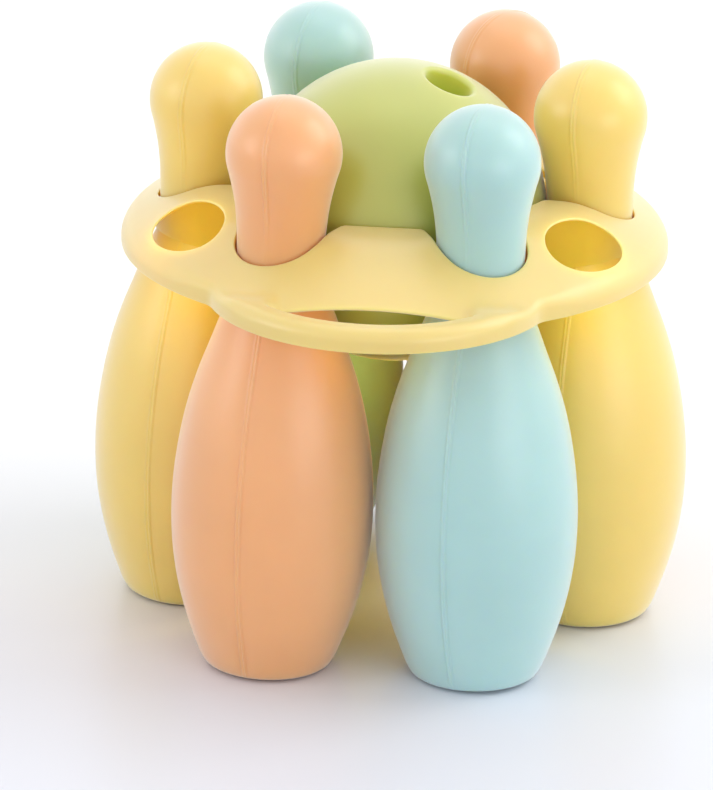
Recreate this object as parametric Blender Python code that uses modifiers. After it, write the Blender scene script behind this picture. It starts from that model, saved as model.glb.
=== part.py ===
"""Toy bowling set: six hollow pins and a ball held in a domed carrier with two handles.

Metres, +Z up. The origin is on the floor, on the set's middle axis. -Y is the front handle.
"""

import math

import bmesh
import bpy
from mathutils import Matrix, Vector

# Whole set
PIN_COUNT = 6
PIN_NEIGHBOUR_GAP = 0.0010
PIN_LEAN = math.radians(1.65)
SEAT_GAP = 0.0003
CUT_OVERRUN = 0.004

# Pin: a blow-moulded shell, turned about its own axis
PIN_HEIGHT = 0.210
PIN_BASE_RADIUS = 0.0226
PIN_BELLY_RADIUS = 0.03605
PIN_BELLY_HEIGHT = 0.059
PIN_NECK_RADIUS = 0.0152
PIN_NECK_HEIGHT_SHARE = 0.6952
PIN_HEAD_RADIUS = 0.02045
PIN_HEAD_BLEND = math.radians(-18)
PIN_WALL = 0.0016
PIN_FOOT_RING_WIDTH = 0.0056
PIN_RECESS_DEPTH = 0.0026
PIN_RECESS_SLOPE_WIDTH = 0.0030
PIN_SEGMENTS = 24

# Each pair is the share of the way up, then the share of the way from base radius to belly radius
BASE_TO_BELLY_SHARES = ((0.0, 0.0), (0.05, 0.13), (0.14, 0.29), (0.34, 0.59), (0.60, 0.86), (1.0, 1.0))
# Each pair is the share of the way up, then the share of the way from neck radius to belly radius
BELLY_TO_NECK_SHARES = (
    (0.126, 0.980), (0.241, 0.927), (0.356, 0.848), (0.471, 0.739), (0.586, 0.593),
    (0.701, 0.418), (0.816, 0.245), (0.874, 0.145), (0.931, 0.042), (1.0, 0.0),
)
# Each pair is the share of the way up, then the share of the way from neck radius to the head's blend
NECK_TO_HEAD_SHARES = ((0.24, 0.06), (0.48, 0.16), (0.70, 0.39), (0.87, 0.70), (1.0, 1.0))
HEAD_ARC_STEPS = 6
NEST_STEPS = 4
PIN_INNER_HEIGHT_SHARES = (0.03, 0.10, 0.20, 0.30, 0.42, 0.55, 0.68, 0.80, 0.87)

# Stopper: a snap-in plug that closes the hole in a pin's base
BLOW_HOLE_RADIUS = 0.0060
STOPPER_FLANGE_OVERHANG = 0.0030
STOPPER_FLANGE_THICKNESS = 0.0014
STOPPER_BARB_OVERHANG = 0.0007
STOPPER_BARB_HEIGHT = 0.0024
STOPPER_TIP_TAPER = 0.0010
STOPPER_SEGMENTS = 16

# Ball: a hollow shell with three blind finger cups, lying in the nest that the necks form
BALL_NEST_GAP = 0.0004
BALL_WALL = 0.0016
BALL_ABOVE_NECKS = 0.0056
BALL_VENT_RADIUS = 0.0020
BALL_SEGMENTS = 36
BALL_OUTER_RINGS = 18
BALL_INNER_RINGS = 11
FINGER_BORE_RADIUS = 0.0088
FINGER_CUP_WALL = 0.0016
FINGER_CUP_DEPTH = 0.0170
FINGER_CUP_SEGMENTS = 20
THUMB_AZIMUTH = math.radians(-12.2)
THUMB_ELEVATION = math.radians(69.3)
FINGER_SPAN = math.radians(38)
FINGER_PAIR_SPREAD = math.radians(17)
FINGER_BEARING = math.radians(94)

# Carrier: one moulded shell, flat by the ball, sloping down to a skirted rim
CARRIER_WALL = 0.0024
LAND_ABOVE_NECKS = 0.0171
LAND_BALL_GAP = 0.0006
LAND_WIDTH = 0.0086
DOME_BEND_RADIUS = 0.0280
DOME_SLOPE = math.radians(29.4)
RIM_BEYOND_NOTCH = 0.01225
RIM_ROUND = 0.0040
RIM_DEPTH = 0.0227
RIM_SEGMENTS = 72
RIM_ROUND_STEPS = 4
BEND_STEPS = 4

# Carrier notches: each holds a pin's neck, and narrows to a mouth that is open towards the ball
NOTCH_PIN_GAP = 0.0005
NOTCH_TAPER = math.radians(6)
HEM_WALL = 0.0016
HEM_DEPTH = 0.0227
HEM_BOTTOM_SLOPE = math.radians(10)
HEM_TOP_SINK = 0.0012
HEM_BALL_CLEARANCE = 0.0006
NOTCH_ARC_STEPS = 14

# Carrier holes: an oval one in each of the four side gaps between pins, a little nearer the handle
SIDE_HOLE_HALF_LENGTH = 0.0173
SIDE_HOLE_HALF_WIDTH = 0.0132
SIDE_HOLE_FROM_RIM = 0.0172
SIDE_HOLE_TURN = math.radians(1.2)
SIDE_HOLE_SEGMENTS = 28

# Carrier handles: a bow beyond the rim at the front and at the back, with a slot behind it
HANDLE_OVERHANG = 0.0222
HANDLE_HALF_ANGLE = math.radians(35.6)
HANDLE_BAR_WIDTH = 0.0085
HANDLE_TOP_DEPTH = 0.0152
HANDLE_EDGE_ROUND = 0.0026
HANDLE_BOTTOM_STEP = 0.0001
HANDLE_ROOT_OVERLAP = 0.0020
HANDLE_FILLET = 0.0100
HANDLE_FILLET_STEPS = 5
HANDLE_STEPS = 36
SLOT_EDGE_INSET = 0.0030
SLOT_LENGTH_SHARE = 0.909
FLAP_ROOT_MARGIN = 0.0008
FLAP_SINK = 0.0001
FLAP_OVERRUN = 0.0010
FLAP_ROOM_OVERRUN = 0.0003
EDGE_BEVEL_SEGMENTS = 2

# Places worked out from the sizes above
PIN_NECK_HEIGHT = PIN_HEIGHT * PIN_NECK_HEIGHT_SHARE
BELLY_RING_RADIUS = (PIN_BELLY_RADIUS + PIN_NEIGHBOUR_GAP / 2) / math.sin(math.pi / PIN_COUNT)
PIN_RING_RADIUS = BELLY_RING_RADIUS + PIN_BELLY_HEIGHT * math.sin(PIN_LEAN)
BALL_CENTRE_HEIGHT = PIN_NECK_HEIGHT + BALL_ABOVE_NECKS
LAND_HEIGHT = PIN_NECK_HEIGHT + LAND_ABOVE_NECKS
RIM_BOTTOM_HEIGHT = LAND_HEIGHT - RIM_DEPTH
HEM_BOTTOM_HEIGHT = LAND_HEIGHT - HEM_DEPTH
NOTCH_RING_RADIUS = PIN_RING_RADIUS - (LAND_HEIGHT + HEM_BOTTOM_HEIGHT) / 2 * math.tan(PIN_LEAN)
HANDLE_TOP_HEIGHT = LAND_HEIGHT - HANDLE_TOP_DEPTH

# Colour, roughness and metallic value of each moulding
YELLOW = ((0.95, 0.72, 0.22, 1.0), 0.42, 0.0)
PEACH = ((0.95, 0.50, 0.27, 1.0), 0.42, 0.0)
MINT = ((0.48, 0.78, 0.76, 1.0), 0.42, 0.0)
GREEN = ((0.70, 0.82, 0.45, 1.0), 0.45, 0.0)
CREAM = ((0.96, 0.80, 0.40, 1.0), 0.45, 0.0)

# Place of each pin by its step around the ring, counted from +X
PINS = (
    ("pin_right", YELLOW),
    ("pin_back_right", PEACH),
    ("pin_back_left", MINT),
    ("pin_left", YELLOW),
    ("pin_front_left", PEACH),
    ("pin_front_right", MINT),
)


def clear_scene():
    for thing in list(bpy.data.objects):
        bpy.data.objects.remove(thing, do_unlink=True)


def new_collection(name):
    collection = bpy.data.collections.new(name)
    bpy.context.scene.collection.children.link(collection)
    return collection


def make_material(name, finish):
    colour, roughness, metallic = finish
    material = bpy.data.materials.new(name)
    material.use_nodes = True
    shader = material.node_tree.nodes["Principled BSDF"]
    shader.inputs["Base Color"].default_value = colour
    shader.inputs["Roughness"].default_value = roughness
    shader.inputs["Metallic"].default_value = metallic
    return material


def add_object(name, mesh, collection):
    thing = bpy.data.objects.new(name, mesh)
    collection.objects.link(thing)
    return thing


def as_cutter(thing):
    thing.hide_render = True
    thing.display_type = "WIRE"
    return thing


def smooth(mesh, angle=math.radians(32)):
    mesh.shade_smooth()
    mesh.set_sharp_from_angle(angle=angle)


def evaluated_mesh(thing):
    """The object's shape with its modifiers or its bevel worked out, welded into one mesh."""
    bpy.context.view_layer.update()
    graph = bpy.context.evaluated_depsgraph_get()
    mesh = bpy.data.meshes.new_from_object(thing.evaluated_get(graph))
    grid = bmesh.new()
    grid.from_mesh(mesh)
    bmesh.ops.remove_doubles(grid, verts=grid.verts, dist=0.000001)
    bmesh.ops.recalc_face_normals(grid, faces=grid.faces)
    grid.to_mesh(mesh)
    grid.free()
    return mesh


def turned_mesh(name, profile, segments, collection):
    """Turn a profile of (radius, height) points, listed from the top of its outer side downwards."""
    mesh = bpy.data.meshes.new(name)
    points = [(radius, 0, height) for radius, height in profile]
    edges = [(i, i + 1) for i in range(len(points) - 1)]
    if profile[0][0] > 0:
        edges.append((len(points) - 1, 0))
    mesh.from_pydata(points, edges, [])
    blank = add_object(name + "_profile", mesh, collection)
    screw = blank.modifiers.new("Turn", "SCREW")
    screw.axis = "Z"
    screw.angle = 2 * math.pi
    screw.steps = segments
    screw.render_steps = segments
    screw.use_merge_vertices = True
    screw.merge_threshold = 0.00001
    result = evaluated_mesh(blank)
    result.name = name
    bpy.data.objects.remove(blank, do_unlink=True)
    return result


def prism(name, outline, bottom, top, collection):
    """A flat outline of (x, y) points, extruded from bottom to top."""
    curve = bpy.data.curves.new(name, "CURVE")
    curve.dimensions = "2D"
    curve.fill_mode = "BOTH"
    curve.extrude = (top - bottom) / 2
    spline = curve.splines.new("POLY")
    spline.points.add(len(outline) - 1)
    for point, (x, y) in zip(spline.points, outline):
        point.co = (x, y, 0, 1)
    spline.use_cyclic_u = True
    guide = add_object(name + "_outline", curve, collection)
    guide.location.z = (top + bottom) / 2
    mesh = evaluated_mesh(guide)
    mesh.name = name
    mesh.transform(Matrix.Translation((0, 0, (top + bottom) / 2)))
    bpy.data.objects.remove(guide, do_unlink=True)
    return add_object(name, mesh, collection)


def cylinder(name, radius, bottom, top, segments, collection):
    grid = bmesh.new()
    bmesh.ops.create_cone(
        grid, cap_ends=True, segments=segments, radius1=radius, radius2=radius, depth=top - bottom,
        matrix=Matrix.Translation((0, 0, (top + bottom) / 2)),
    )
    mesh = bpy.data.meshes.new(name)
    grid.to_mesh(mesh)
    grid.free()
    return add_object(name, mesh, collection)


def combine(thing, others, operation):
    """Join, cut or intersect a solid with others, and keep the result as its mesh."""
    for other in others:
        boolean = thing.modifiers.new(operation.title(), "BOOLEAN")
        boolean.operation = operation
        boolean.solver = "EXACT"
        boolean.object = other
    mesh = evaluated_mesh(thing)
    thing.modifiers.clear()
    thing.data = mesh
    for other in others:
        if operation != "DIFFERENCE":
            bpy.data.objects.remove(other, do_unlink=True)
    return thing


def between(start, end, share):
    return start + (end - start) * share


def pin_outline():
    """Outer side of a pin from its base upwards, as (radius, height) points."""
    head_centre = PIN_HEIGHT - PIN_HEAD_RADIUS
    blend_radius = PIN_HEAD_RADIUS * math.cos(PIN_HEAD_BLEND)
    blend_height = head_centre + PIN_HEAD_RADIUS * math.sin(PIN_HEAD_BLEND)
    points = []
    for up, out in BASE_TO_BELLY_SHARES:
        points.append((between(PIN_BASE_RADIUS, PIN_BELLY_RADIUS, out), PIN_BELLY_HEIGHT * up))
    for up, out in BELLY_TO_NECK_SHARES:
        height = between(PIN_BELLY_HEIGHT, PIN_NECK_HEIGHT, up)
        points.append((between(PIN_NECK_RADIUS, PIN_BELLY_RADIUS, out), height))
    for up, out in NECK_TO_HEAD_SHARES:
        height = between(PIN_NECK_HEIGHT, blend_height, up)
        points.append((between(PIN_NECK_RADIUS, blend_radius, out), height))
    for step in range(1, HEAD_ARC_STEPS + 1):
        angle = between(PIN_HEAD_BLEND, math.pi / 2, step / HEAD_ARC_STEPS)
        radius = PIN_HEAD_RADIUS * math.cos(angle) if step < HEAD_ARC_STEPS else 0
        points.append((radius, head_centre + PIN_HEAD_RADIUS * math.sin(angle)))
    return points


def outline_radius(points, height):
    for (low_radius, low), (high_radius, high) in zip(points, points[1:]):
        if low <= height <= high:
            return between(low_radius, high_radius, (height - low) / (high - low))
    return 0


def pin_profile():
    """Closed section of the shell: down the outside, in over the foot ring, up the inside."""
    outside = pin_outline()
    ring_inner = PIN_BASE_RADIUS - PIN_FOOT_RING_WIDTH
    recess_radius = ring_inner - PIN_RECESS_SLOPE_WIDTH
    floor_height = PIN_RECESS_DEPTH + PIN_WALL
    inside = [(BLOW_HOLE_RADIUS, floor_height), (recess_radius, floor_height)]
    inside.append((ring_inner - PIN_WALL, PIN_WALL + PIN_WALL))
    for share in PIN_INNER_HEIGHT_SHARES:
        height = PIN_HEIGHT * share
        inside.append((outline_radius(outside, height) - PIN_WALL, height))
    head_centre = PIN_HEIGHT - PIN_HEAD_RADIUS
    head_inner = PIN_HEAD_RADIUS - PIN_WALL
    for step in range(HEAD_ARC_STEPS):
        angle = math.pi / 2 * step / (HEAD_ARC_STEPS - 1)
        radius = head_inner * math.cos(angle) if step < HEAD_ARC_STEPS - 1 else 0
        inside.append((radius, head_centre + head_inner * math.sin(angle)))
    foot = [(ring_inner, 0), (recess_radius, PIN_RECESS_DEPTH), (BLOW_HOLE_RADIUS, PIN_RECESS_DEPTH)]
    return outside[::-1] + foot + inside


def stopper_profile():
    """Section of the plug: flange in the recess, stem in the hole, barb above the wall."""
    wall_top = PIN_RECESS_DEPTH + PIN_WALL
    flange_top = PIN_RECESS_DEPTH - SEAT_GAP
    flange_bottom = flange_top - STOPPER_FLANGE_THICKNESS
    stem = BLOW_HOLE_RADIUS - SEAT_GAP
    barb_bottom = wall_top + SEAT_GAP
    barb_top = barb_bottom + STOPPER_BARB_HEIGHT
    barb = BLOW_HOLE_RADIUS + STOPPER_BARB_OVERHANG
    tip = BLOW_HOLE_RADIUS - STOPPER_TIP_TAPER
    flange = BLOW_HOLE_RADIUS + STOPPER_FLANGE_OVERHANG
    return [
        (0, barb_top), (tip, barb_top), (barb, barb_bottom), (stem, barb_bottom),
        (stem, flange_top), (flange, flange_top), (flange, flange_bottom), (0, flange_bottom),
    ]


def nest_radius():
    """Distance from the ball's centre to the nearest point of a pin's side."""
    lift = PIN_BASE_RADIUS * math.sin(PIN_LEAN)
    distances = []
    outline = pin_outline()
    for (low_radius, low), (high_radius, high) in zip(outline, outline[1:]):
        for step in range(NEST_STEPS + 1):
            radius = between(low_radius, high_radius, step / NEST_STEPS)
            height = between(low, high, step / NEST_STEPS)
            out = PIN_RING_RADIUS - height * math.sin(PIN_LEAN) - radius * math.cos(PIN_LEAN)
            up = lift + height * math.cos(PIN_LEAN) - radius * math.sin(PIN_LEAN)
            distances.append(math.hypot(out, up - BALL_CENTRE_HEIGHT))
    return min(distances)


def widest_neck():
    """Largest pin radius over the heights that a notch spans."""
    outline = pin_outline()
    spanned = [radius for radius, height in outline if HEM_BOTTOM_HEIGHT <= height <= LAND_HEIGHT]
    ends = [outline_radius(outline, HEM_BOTTOM_HEIGHT), outline_radius(outline, LAND_HEIGHT)]
    return max(spanned + ends)


def ring_angle(step):
    return 2 * math.pi * step / PIN_COUNT


def pin_placement(step):
    """Where a pin stands: its base centre, leaning so that its head is nearer the middle."""
    lift = PIN_BASE_RADIUS * math.sin(PIN_LEAN)
    place = Matrix.Translation((PIN_RING_RADIUS, 0, lift)) @ Matrix.Rotation(-PIN_LEAN, 4, "Y")
    return Matrix.Rotation(ring_angle(step), 4, "Z") @ place


# Sizes that follow from the pins' outline
BALL_RADIUS = nest_radius() - BALL_NEST_GAP
NOTCH_RADIUS = widest_neck() + NOTCH_PIN_GAP
LAND_ABOVE_BALL = LAND_HEIGHT - CARRIER_WALL - BALL_CENTRE_HEIGHT
LAND_APOTHEM = math.sqrt(BALL_RADIUS ** 2 - LAND_ABOVE_BALL ** 2) + LAND_BALL_GAP
LAND_FLAT_RADIUS = LAND_APOTHEM + LAND_WIDTH
RIM_RADIUS = NOTCH_RING_RADIUS + NOTCH_RADIUS + RIM_BEYOND_NOTCH
SIDE_HOLE_RING_RADIUS = RIM_RADIUS - SIDE_HOLE_FROM_RIM

# The bow is an arc that ends on the rim's circle, and the slot's arc runs alongside it
HANDLE_REACH = RIM_RADIUS + HANDLE_OVERHANG
HANDLE_ROOT_DISTANCE = RIM_RADIUS * math.cos(HANDLE_HALF_ANGLE)
HANDLE_RISE = HANDLE_REACH - HANDLE_ROOT_DISTANCE
HANDLE_CENTRE_RADIUS = (HANDLE_REACH ** 2 - RIM_RADIUS ** 2) / 2 / HANDLE_RISE
HANDLE_OUTER_RADIUS = HANDLE_REACH - HANDLE_CENTRE_RADIUS
SLOT_ARC_RADIUS = HANDLE_OUTER_RADIUS - HANDLE_BAR_WIDTH
SLOT_EDGE_RADIUS = RIM_RADIUS - SLOT_EDGE_INSET
SLOT_CHORD = math.sqrt(SLOT_ARC_RADIUS ** 2 - (SLOT_EDGE_RADIUS - HANDLE_CENTRE_RADIUS) ** 2)
SLOT_HALF_LENGTH = SLOT_CHORD * SLOT_LENGTH_SHARE
SKIRT_AT_SLOT_END = math.sqrt((RIM_RADIUS - CARRIER_WALL) ** 2 - SLOT_HALF_LENGTH ** 2)
FLAP_START_RADIUS = SKIRT_AT_SLOT_END - FLAP_ROOT_MARGIN - CUT_OVERRUN


def build_pins(collection):
    shell = turned_mesh("pin_shell", pin_profile(), PIN_SEGMENTS, collection)
    plug = turned_mesh("stopper_shape", stopper_profile(), STOPPER_SEGMENTS, collection)
    smooth(shell)
    smooth(plug)
    for step, (name, finish) in enumerate(PINS):
        material = make_material(name + "_plastic", finish)
        for node, mesh in ((name, shell), (name + "_stopper", plug)):
            thing = add_object(node, mesh.copy(), collection)
            thing.data.materials.append(material)
            thing.matrix_world = pin_placement(step)


def direction(azimuth, elevation):
    flat = math.cos(elevation)
    return Vector((flat * math.cos(azimuth), flat * math.sin(azimuth), math.sin(elevation)))


def finger_directions():
    """From the ball's centre: the thumb hole, then two finger holes beyond it."""
    thumb = direction(THUMB_AZIMUTH, THUMB_ELEVATION)
    side = thumb.orthogonal().normalized()
    bearing = Vector((math.cos(FINGER_BEARING), math.sin(FINGER_BEARING), 0))
    away = (bearing - thumb * bearing.dot(thumb)).normalized()
    side = away.cross(thumb)
    middle = thumb * math.cos(FINGER_SPAN) + away * math.sin(FINGER_SPAN)
    pair = []
    for sign in (-1, 1):
        spread = side * sign * math.sin(FINGER_PAIR_SPREAD)
        pair.append(middle * math.cos(FINGER_PAIR_SPREAD) + spread)
    return [thumb] + pair


def ball_profile():
    """Section of the shell: down the outside to the vent, then up the inside."""
    inner = BALL_RADIUS - BALL_WALL
    points = []
    vent_outer = math.asin(BALL_VENT_RADIUS / BALL_RADIUS)
    vent_inner = math.asin(BALL_VENT_RADIUS / inner)
    for step in range(BALL_OUTER_RINGS + 1):
        angle = (math.pi - vent_outer) * step / BALL_OUTER_RINGS
        points.append((BALL_RADIUS * math.sin(angle), BALL_RADIUS * math.cos(angle)))
    for step in range(BALL_INNER_RINGS, -1, -1):
        angle = (math.pi - vent_inner) * step / BALL_INNER_RINGS
        points.append((inner * math.sin(angle), inner * math.cos(angle)))
    points[0] = (0, BALL_RADIUS)
    points[-1] = (0, inner)
    return points


def build_ball(collection, cutters):
    shell = turned_mesh("ball_shell", ball_profile(), BALL_SEGMENTS, collection)
    ball = add_object("ball", shell, collection)
    cup_radius = FINGER_BORE_RADIUS + FINGER_CUP_WALL
    cup_top = BALL_RADIUS - BALL_WALL + SEAT_GAP
    bore_bottom = BALL_RADIUS - FINGER_CUP_DEPTH
    cups = []
    bores = []
    for count, way in enumerate(finger_directions()):
        turn = way.to_track_quat("Z", "Y").to_matrix().to_4x4()
        cup_bottom = bore_bottom - FINGER_CUP_WALL
        cup = cylinder(f"cup_{count}", cup_radius, cup_bottom, cup_top, FINGER_CUP_SEGMENTS, cutters)
        bore_top = BALL_RADIUS + CUT_OVERRUN
        bore = cylinder(
            f"bore_{count}", FINGER_BORE_RADIUS, bore_bottom, bore_top, FINGER_CUP_SEGMENTS, cutters
        )
        for tool in (cup, bore):
            tool.data.transform(turn)
            as_cutter(tool)
        cups.append(cup)
        bores.append(bore)
    combine(ball, cups, "UNION")
    combine(ball, bores, "DIFFERENCE")
    ball.data.materials.append(make_material("ball_plastic", GREEN))
    smooth(ball.data)
    ball.location = (0, 0, BALL_CENTRE_HEIGHT)
    for bore in bores:
        bore.location = ball.location


def dome_top(radius):
    """Height of the carrier's upper side at a distance from the middle axis."""
    bend_end = LAND_FLAT_RADIUS + DOME_BEND_RADIUS * math.sin(DOME_SLOPE)
    if radius <= LAND_FLAT_RADIUS:
        return LAND_HEIGHT
    if radius <= bend_end:
        run = radius - LAND_FLAT_RADIUS
        return LAND_HEIGHT - DOME_BEND_RADIUS + math.sqrt(DOME_BEND_RADIUS ** 2 - run ** 2)
    bend_drop = DOME_BEND_RADIUS * (1 - math.cos(DOME_SLOPE))
    return LAND_HEIGHT - bend_drop - math.tan(DOME_SLOPE) * (radius - bend_end)


def dome_line(start, end):
    """Points along the carrier's upper side from one radius out to another."""
    bend_end = LAND_FLAT_RADIUS + DOME_BEND_RADIUS * math.sin(DOME_SLOPE)
    radii = [start]
    for step in range(BEND_STEPS + 1):
        radii.append(LAND_FLAT_RADIUS + (bend_end - LAND_FLAT_RADIUS) * step / BEND_STEPS)
    radii.append(end)
    return [(radius, dome_top(radius)) for radius in radii if start <= radius <= end]


def wall_below(points, drop):
    return [(radius, height - drop) for radius, height in points]


def carrier_profile():
    """Section of the shell: out over the dome, round the rim, back up the inside."""
    start = LAND_APOTHEM - CUT_OVERRUN
    drop = CARRIER_WALL / math.cos(DOME_SLOPE)
    round_centre = RIM_RADIUS - RIM_ROUND
    round_height = dome_top(RIM_RADIUS - RIM_ROUND * (1 - math.sin(DOME_SLOPE)))
    round_height -= RIM_ROUND * math.cos(DOME_SLOPE)
    outside = dome_line(start, round_centre)
    for step in range(RIM_ROUND_STEPS + 1):
        angle = between(math.pi / 2 - DOME_SLOPE, 0, step / RIM_ROUND_STEPS)
        radius = round_centre + RIM_ROUND * math.cos(angle)
        outside.append((radius, round_height + RIM_ROUND * math.sin(angle)))
    skirt_inner = RIM_RADIUS - CARRIER_WALL
    inside = [(skirt_inner, RIM_BOTTOM_HEIGHT), (skirt_inner, dome_top(skirt_inner) - drop)]
    inside += wall_below(dome_line(start, round_centre)[::-1], drop)[1:]
    return outside + [(RIM_RADIUS, RIM_BOTTOM_HEIGHT)] + inside


def notch_outline(radius, mouth):
    """Round end about a pin's neck and sides that close in towards the middle, along +X."""
    narrowing = (NOTCH_RING_RADIUS - mouth) * math.tan(NOTCH_TAPER)
    half_mouth = radius / math.cos(NOTCH_TAPER) - narrowing
    points = [(mouth, half_mouth), (mouth, -half_mouth)]
    side = math.pi / 2 + NOTCH_TAPER
    for step in range(NOTCH_ARC_STEPS + 1):
        angle = between(-side, side, step / NOTCH_ARC_STEPS)
        x = NOTCH_RING_RADIUS + radius * math.cos(angle)
        points.append((x, radius * math.sin(angle)))
    return points


def under_dome(name, sink, collection):
    """Solid that fills the dome from well below it up to a little under its upper side."""
    line = wall_below(dome_line(LAND_APOTHEM - CUT_OVERRUN, RIM_RADIUS), sink)
    low = RIM_BOTTOM_HEIGHT - CUT_OVERRUN
    line = [(0, line[0][1])] + line + [(RIM_RADIUS, low), (0, low)]
    return add_object(name, turned_mesh(name, line, RIM_SEGMENTS, collection), collection)


def build_hems(cutters):
    """The wall that hangs round each notch, cut off by a plane that rises outwards."""
    hems = []
    low = HEM_BOTTOM_HEIGHT - CUT_OVERRUN - CUT_OVERRUN
    reach = LAND_APOTHEM - CUT_OVERRUN
    for step in range(PIN_COUNT):
        outline = notch_outline(NOTCH_RADIUS + HEM_WALL, reach - CUT_OVERRUN)
        hem = prism(f"hem_{step}", outline, low, LAND_HEIGHT, cutters)
        trim = f"hem_trim_{step}"
        plane_cut = cylinder(trim, RIM_RADIUS, -RIM_RADIUS, 0, RIM_SEGMENTS, cutters)
        tilt = Matrix.Translation((NOTCH_RING_RADIUS, 0, HEM_BOTTOM_HEIGHT))
        plane_cut.data.transform(tilt @ Matrix.Rotation(-HEM_BOTTOM_SLOPE, 4, "Y"))
        combine(hem, [plane_cut], "DIFFERENCE")
        combine(hem, [under_dome(f"hem_top_{step}", HEM_TOP_SINK, cutters)], "INTERSECT")
        ball_clear = BALL_RADIUS + HEM_BALL_CLEARANCE
        well_low = low - CUT_OVERRUN
        well = cylinder(f"hem_well_{step}", ball_clear, well_low, LAND_HEIGHT, RIM_SEGMENTS, cutters)
        combine(hem, [well], "DIFFERENCE")
        for tool in (plane_cut, well):
            bpy.data.objects.remove(tool, do_unlink=True)
        hem.data.transform(Matrix.Rotation(ring_angle(step), 4, "Z"))
        hems.append(hem)
    return hems


def half_turn(side):
    """The front handle is modelled at -Y, and the back one is the same turned about Z."""
    return Matrix.Rotation(0 if side == "front" else math.pi, 4, "Z")


def arc(centre, radius, start, end, steps):
    """Points along a level arc, as (x, y), from one bearing to another."""
    points = []
    for step in range(steps + 1):
        angle = between(start, end, step / steps)
        points.append((centre[0] + radius * math.cos(angle), centre[1] + radius * math.sin(angle)))
    return points


def handle_outline():
    """The bow's outer edge and the hollow curves that lead it into the rim."""
    bow_centre = (0, -HANDLE_CENTRE_RADIUS)
    to_rim = RIM_RADIUS + HANDLE_FILLET
    to_bow = HANDLE_OUTER_RADIUS + HANDLE_FILLET
    drop = ((to_rim ** 2 - to_bow ** 2) / HANDLE_CENTRE_RADIUS + HANDLE_CENTRE_RADIUS) / 2
    reach = math.sqrt(to_rim ** 2 - drop ** 2)
    rim_way = math.atan2(drop, -reach)
    bow_way = math.atan2(drop - HANDLE_CENTRE_RADIUS, -reach)
    fillet = arc((reach, -drop), HANDLE_FILLET, rim_way, bow_way, HANDLE_FILLET_STEPS)
    mirrored = [(-x, y) for x, y in fillet]
    start = math.atan2(HANDLE_CENTRE_RADIUS - drop, reach)
    front = arc(bow_centre, HANDLE_OUTER_RADIUS, start, -math.pi - start, HANDLE_STEPS)
    return fillet + front[1:-1] + mirrored[::-1]


def slot_outline(grow):
    """The slot's D shape, or the same shape with a wall of the given width about it."""
    half_length = SLOT_HALF_LENGTH + grow
    half_angle = math.asin(SLOT_HALF_LENGTH / SLOT_ARC_RADIUS)
    bow_centre = (0, -HANDLE_CENTRE_RADIUS)
    down = -math.pi / 2
    front = arc(bow_centre, SLOT_ARC_RADIUS + grow, down - half_angle, down + half_angle, HANDLE_STEPS)
    edge = -SLOT_EDGE_RADIUS + grow
    return front + [(half_length, edge), (-half_length, edge)]


def build_handle(side, cutters):
    """Bow beyond the rim: a rounded plate, hollowed from below round the slot's wall."""
    bottom = RIM_BOTTOM_HEIGHT + HANDLE_BOTTOM_STEP
    bow = prism("handle_" + side, handle_outline(), bottom, HANDLE_TOP_HEIGHT, cutters)
    bevel = bow.modifiers.new("Rounded edge", "BEVEL")
    bevel.width = HANDLE_EDGE_ROUND
    bevel.segments = EDGE_BEVEL_SEGMENTS
    bevel.angle_limit = math.radians(60)
    bow.data = evaluated_mesh(bow)
    bow.modifiers.clear()
    low = RIM_BOTTOM_HEIGHT - CUT_OVERRUN
    hollow_top = HANDLE_TOP_HEIGHT - CARRIER_WALL
    hollow_radius = HANDLE_OUTER_RADIUS - CARRIER_WALL
    hollow = cylinder("bow_hollow", hollow_radius, low, hollow_top, HANDLE_STEPS, cutters)
    hollow.data.transform(Matrix.Translation((0, -HANDLE_CENTRE_RADIUS, 0)))
    wall = prism("slot_wall", slot_outline(CARRIER_WALL), low - CUT_OVERRUN, HANDLE_TOP_HEIGHT, cutters)
    inner_radius = RIM_RADIUS - CARRIER_WALL / 2
    rim = cylinder("rim_keep", inner_radius, low - CUT_OVERRUN, HANDLE_TOP_HEIGHT, RIM_SEGMENTS, cutters)
    combine(hollow, [wall, rim], "DIFFERENCE")
    inner_top = HANDLE_TOP_HEIGHT + CUT_OVERRUN
    root_radius = RIM_RADIUS - CARRIER_WALL - HANDLE_ROOT_OVERLAP
    inner = cylinder("bow_inner", root_radius, low, inner_top, RIM_SEGMENTS, cutters)
    combine(bow, [inner, hollow], "DIFFERENCE")
    for tool in (hollow, wall, rim, inner):
        bpy.data.objects.remove(tool, do_unlink=True)
    bow.data.transform(half_turn(side))
    return bow


def slot_cutter(side, cutters):
    low = RIM_BOTTOM_HEIGHT - CUT_OVERRUN
    slot = prism("slot_" + side, slot_outline(0), low, LAND_HEIGHT, cutters)
    slot.data.transform(half_turn(side))
    return as_cutter(slot)


def flap_clearance(side, cutters):
    """Block that takes the rim and the bow away where the flap and the slot go."""
    outline = [
        (-SLOT_HALF_LENGTH, -FLAP_START_RADIUS - CUT_OVERRUN),
        (SLOT_HALF_LENGTH, -FLAP_START_RADIUS - CUT_OVERRUN),
        (SLOT_HALF_LENGTH, -SLOT_EDGE_RADIUS - FLAP_ROOM_OVERRUN),
        (-SLOT_HALF_LENGTH, -SLOT_EDGE_RADIUS - FLAP_ROOM_OVERRUN),
    ]
    low = RIM_BOTTOM_HEIGHT - CUT_OVERRUN
    block = prism("flap_room_" + side, outline, low, LAND_HEIGHT, cutters)
    block.data.transform(half_turn(side))
    return as_cutter(block)


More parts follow.
